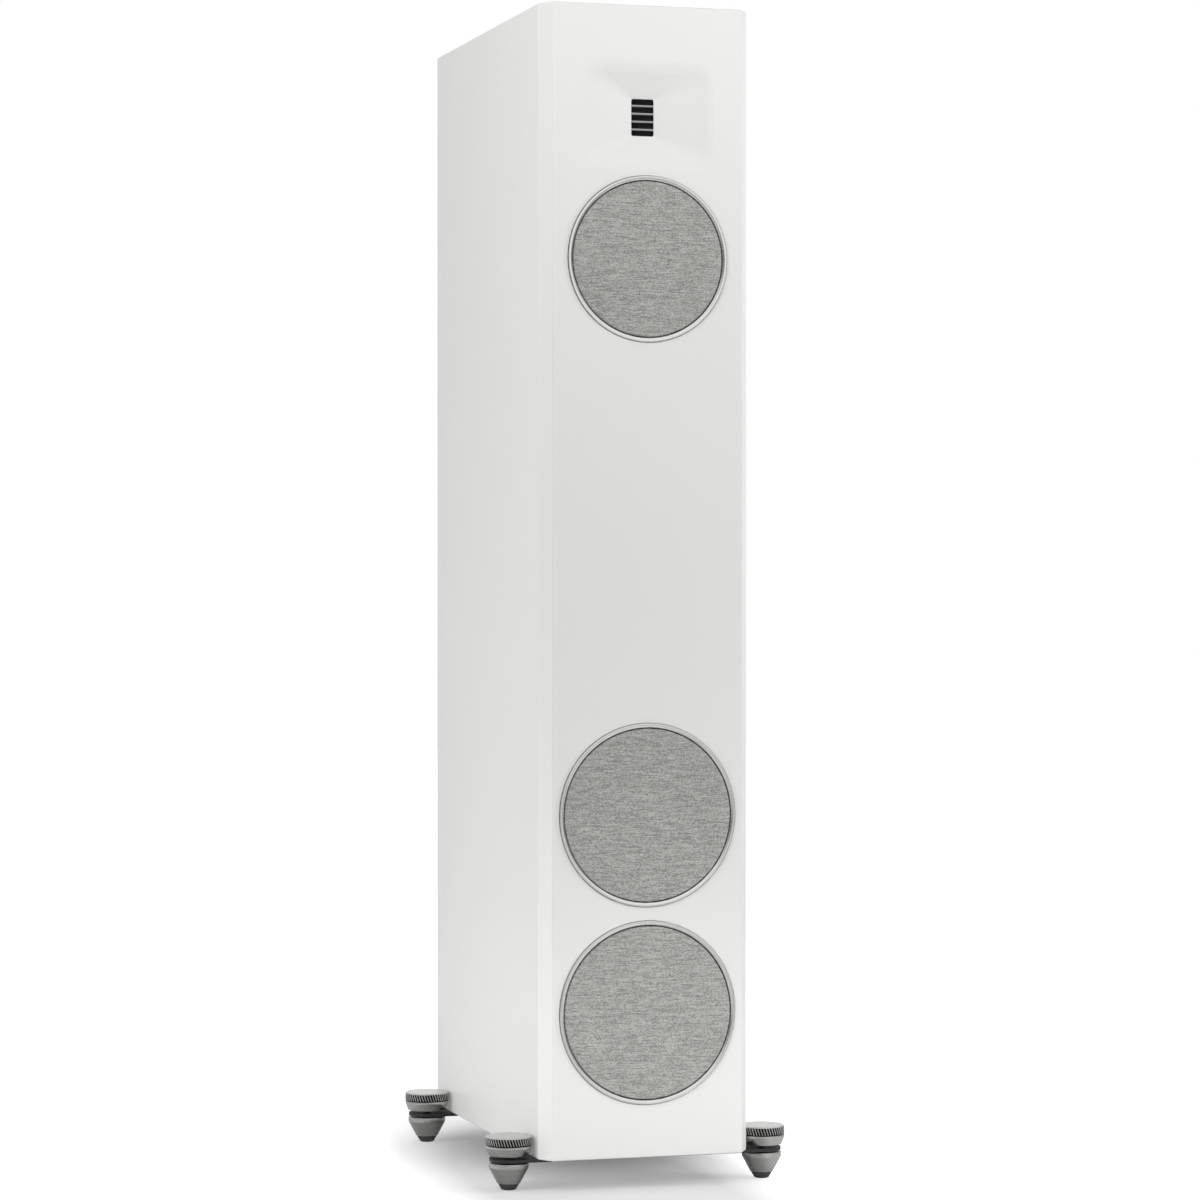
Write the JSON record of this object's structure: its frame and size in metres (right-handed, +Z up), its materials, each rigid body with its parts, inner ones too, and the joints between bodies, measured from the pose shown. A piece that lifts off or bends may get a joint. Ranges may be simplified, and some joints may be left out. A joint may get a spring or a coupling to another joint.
{
  "type": "floorstanding speaker",
  "caption": "Tall bevelled cabinet on two outriggers with screw feet, a slotted tweeter in a waveguide and cone drivers behind round pull-off grilles.",
  "frame": {"origin": "on the floor under the middle of the whole part's box", "axes": "+Z up; the front with the drivers faces -Y; +X is to the right as seen from the front"},
  "size_m": [0.3056, 0.4172, 1.151],
  "materials": {
    "cabinet_lacquer": "satin white lacquer on fibreboard",
    "bare_board": "bare medium-density fibreboard",
    "pole_plate": "plated steel",
    "tweeter_film": "black pleated film",
    "ferrite": "sintered ferrite",
    "black_plastic": "moulded black",
    "trim_silver": "satin silver, turned",
    "cast_frame": "black coated casting",
    "surround_rubber": "matt rubber",
    "spider_cloth": "phenolic cloth",
    "cone_black": "black anodised",
    "grille_plastic": "moulded black",
    "grille_fabric": "grey melange cloth",
    "motor_steel": "zinc plated",
    "port_plastic": "moulded black",
    "cup_plastic": "moulded black",
    "post_brass": "gold plated",
    "knob_red": "clear red",
    "knob_black": "black",
    "board_green": "solder-masked board",
    "component": "wound copper and film parts",
    "outrigger_black": "black powder coat",
    "foot_metal": "satin gunmetal",
    "tip_rubber": "matt dark grey",
    "screw_black": "black oxide"
  },
  "bodies": {
    "cabinet": {"left_side_panel": "cabinet_lacquer", "right_side_panel": "cabinet_lacquer", "top_panel": "cabinet_lacquer", "bottom_panel": "cabinet_lacquer", "rear_panel": "cabinet_lacquer", "front_baffle": "cabinet_lacquer", "window_braces": "bare_board", "midrange_chamber": "bare_board", "tweeter_pole_plates": "pole_plate", "tweeter_diaphragm": "tweeter_film", "tweeter_magnets": "ferrite", "tweeter_rear_cup": "black_plastic", "midrange_trim_ring": "trim_silver", "midrange_basket": "cast_frame", "midrange_surround": "surround_rubber", "midrange_spider": "spider_cloth", "upper_woofer_trim_ring": "trim_silver", "upper_woofer_basket": "cast_frame", "upper_woofer_surround": "surround_rubber", "upper_woofer_spider": "spider_cloth", "lower_woofer_trim_ring": "trim_silver", "lower_woofer_basket": "cast_frame", "lower_woofer_surround": "surround_rubber", "lower_woofer_spider": "spider_cloth", "motor_plates": "motor_steel", "motor_magnets": "ferrite", "lower_reflex_port": "port_plastic", "upper_reflex_port": "port_plastic", "terminal_cup": "cup_plastic", "binding_posts": "post_brass", "crossover_board": "board_green", "crossover_parts": "component", "front_outrigger": "outrigger_black", "rear_outrigger": "outrigger_black", "fixing_screws": "screw_black"},
    "midrange_grille": {"midrange_grille_frame": "grille_plastic", "midrange_grille_cloth": "grille_fabric"},
    "midrange_diaphragm": {"midrange_cone": "cone_black"},
    "upper_woofer_grille": {"upper_woofer_grille_frame": "grille_plastic", "upper_woofer_grille_cloth": "grille_fabric"},
    "upper_woofer_diaphragm": {"upper_woofer_cone": "cone_black"},
    "lower_woofer_grille": {"lower_woofer_grille_frame": "grille_plastic", "lower_woofer_grille_cloth": "grille_fabric"},
    "lower_woofer_diaphragm": {"lower_woofer_cone": "cone_black"},
    "front_left_tip": {"front_left_foot_tip": "tip_rubber"},
    "front_left_screw": {"front_left_foot_knob": "foot_metal", "front_left_foot_cone": "foot_metal"},
    "front_right_tip": {"front_right_foot_tip": "tip_rubber"},
    "front_right_screw": {"front_right_foot_knob": "foot_metal", "front_right_foot_cone": "foot_metal"},
    "rear_left_tip": {"rear_left_foot_tip": "tip_rubber"},
    "rear_left_screw": {"rear_left_foot_knob": "foot_metal", "rear_left_foot_cone": "foot_metal"},
    "rear_right_tip": {"rear_right_foot_tip": "tip_rubber"},
    "rear_right_screw": {"rear_right_foot_knob": "foot_metal", "rear_right_foot_cone": "foot_metal"},
    "red_washer": {"red_post_washer": "post_brass"},
    "red_knob": {"red_post_knob": "knob_red"},
    "black_washer": {"black_post_washer": "post_brass"},
    "black_knob": {"black_post_knob": "knob_black"}
  },
  "joints": [
    {"name": "midrange_grille_pull", "type": "slide", "parent": "cabinet", "child": "midrange_grille", "axis": [0, -1, 0], "range_m": [0, 0.06]},
    {"name": "upper_woofer_grille_pull", "type": "slide", "parent": "cabinet", "child": "upper_woofer_grille", "axis": [0, -1, 0], "range_m": [0, 0.06]},
    {"name": "lower_woofer_grille_pull", "type": "slide", "parent": "cabinet", "child": "lower_woofer_grille", "axis": [0, -1, 0], "range_m": [0, 0.06]},
    {"name": "midrange_cone_travel", "type": "slide", "parent": "cabinet", "child": "midrange_diaphragm", "axis": [0, -1, 0], "range_m": [-0.003, 0.003], "stiffness_N_per_m": 1500, "deforming": ["midrange_surround", "midrange_spider"]},
    {"name": "upper_woofer_cone_travel", "type": "slide", "parent": "cabinet", "child": "upper_woofer_diaphragm", "axis": [0, -1, 0], "range_m": [-0.005, 0.005], "stiffness_N_per_m": 1200, "deforming": ["upper_woofer_surround", "upper_woofer_spider"]},
    {"name": "lower_woofer_cone_travel", "type": "slide", "parent": "cabinet", "child": "lower_woofer_diaphragm", "axis": [0, -1, 0], "range_m": [-0.005, 0.005], "stiffness_N_per_m": 1200, "deforming": ["lower_woofer_surround", "lower_woofer_spider"]},
    {"name": "front_left_height", "type": "slide", "parent": "cabinet", "child": "front_left_tip", "axis": [0, 0, 1], "range_m": [-0.00125, 0.00125]},
    {"name": "front_left_turn", "type": "hinge", "parent": "front_left_tip", "child": "front_left_screw", "pos_m": [-0.13, -0.169, 0.02], "axis": [0, 0, 1], "range_deg": [-361, 361]},
    {"name": "front_right_height", "type": "slide", "parent": "cabinet", "child": "front_right_tip", "axis": [0, 0, 1], "range_m": [-0.00125, 0.00125]},
    {"name": "front_right_turn", "type": "hinge", "parent": "front_right_tip", "child": "front_right_screw", "pos_m": [0.13, -0.169, 0.02], "axis": [0, 0, 1], "range_deg": [-361, 361]},
    {"name": "rear_left_height", "type": "slide", "parent": "cabinet", "child": "rear_left_tip", "axis": [0, 0, 1], "range_m": [-0.00125, 0.00125]},
    {"name": "rear_left_turn", "type": "hinge", "parent": "rear_left_tip", "child": "rear_left_screw", "pos_m": [-0.13, 0.159, 0.02], "axis": [0, 0, 1], "range_deg": [-361, 361]},
    {"name": "rear_right_height", "type": "slide", "parent": "cabinet", "child": "rear_right_tip", "axis": [0, 0, 1], "range_m": [-0.00125, 0.00125]},
    {"name": "rear_right_turn", "type": "hinge", "parent": "rear_right_tip", "child": "rear_right_screw", "pos_m": [0.13, 0.159, 0.02], "axis": [0, 0, 1], "range_deg": [-361, 361]},
    {"name": "red_post_travel", "type": "slide", "parent": "cabinet", "child": "red_washer", "axis": [0, 1, 0], "range_m": [0, 0.004]},
    {"name": "red_post_turn", "type": "hinge", "parent": "red_washer", "child": "red_knob", "pos_m": [-0.019, 0.177, 0.181], "axis": [0, 1, 0], "range_deg": [0, 1441]},
    {"name": "black_post_travel", "type": "slide", "parent": "cabinet", "child": "black_washer", "axis": [0, 1, 0], "range_m": [0, 0.004]},
    {"name": "black_post_turn", "type": "hinge", "parent": "black_washer", "child": "black_knob", "pos_m": [0.019, 0.177, 0.181], "axis": [0, 1, 0], "range_deg": [0, 1441]}
  ],
  "couplings": [
    {"joint": "front_left_turn", "follows": "front_left_height", "rad_per_m": 5026.5},
    {"joint": "front_right_turn", "follows": "front_right_height", "rad_per_m": 5026.5},
    {"joint": "rear_left_turn", "follows": "rear_left_height", "rad_per_m": 5026.5},
    {"joint": "rear_right_turn", "follows": "rear_right_height", "rad_per_m": 5026.5},
    {"joint": "red_post_turn", "follows": "red_post_travel", "rad_per_m": 6283.2},
    {"joint": "black_post_turn", "follows": "black_post_travel", "rad_per_m": 6283.2}
  ]
}
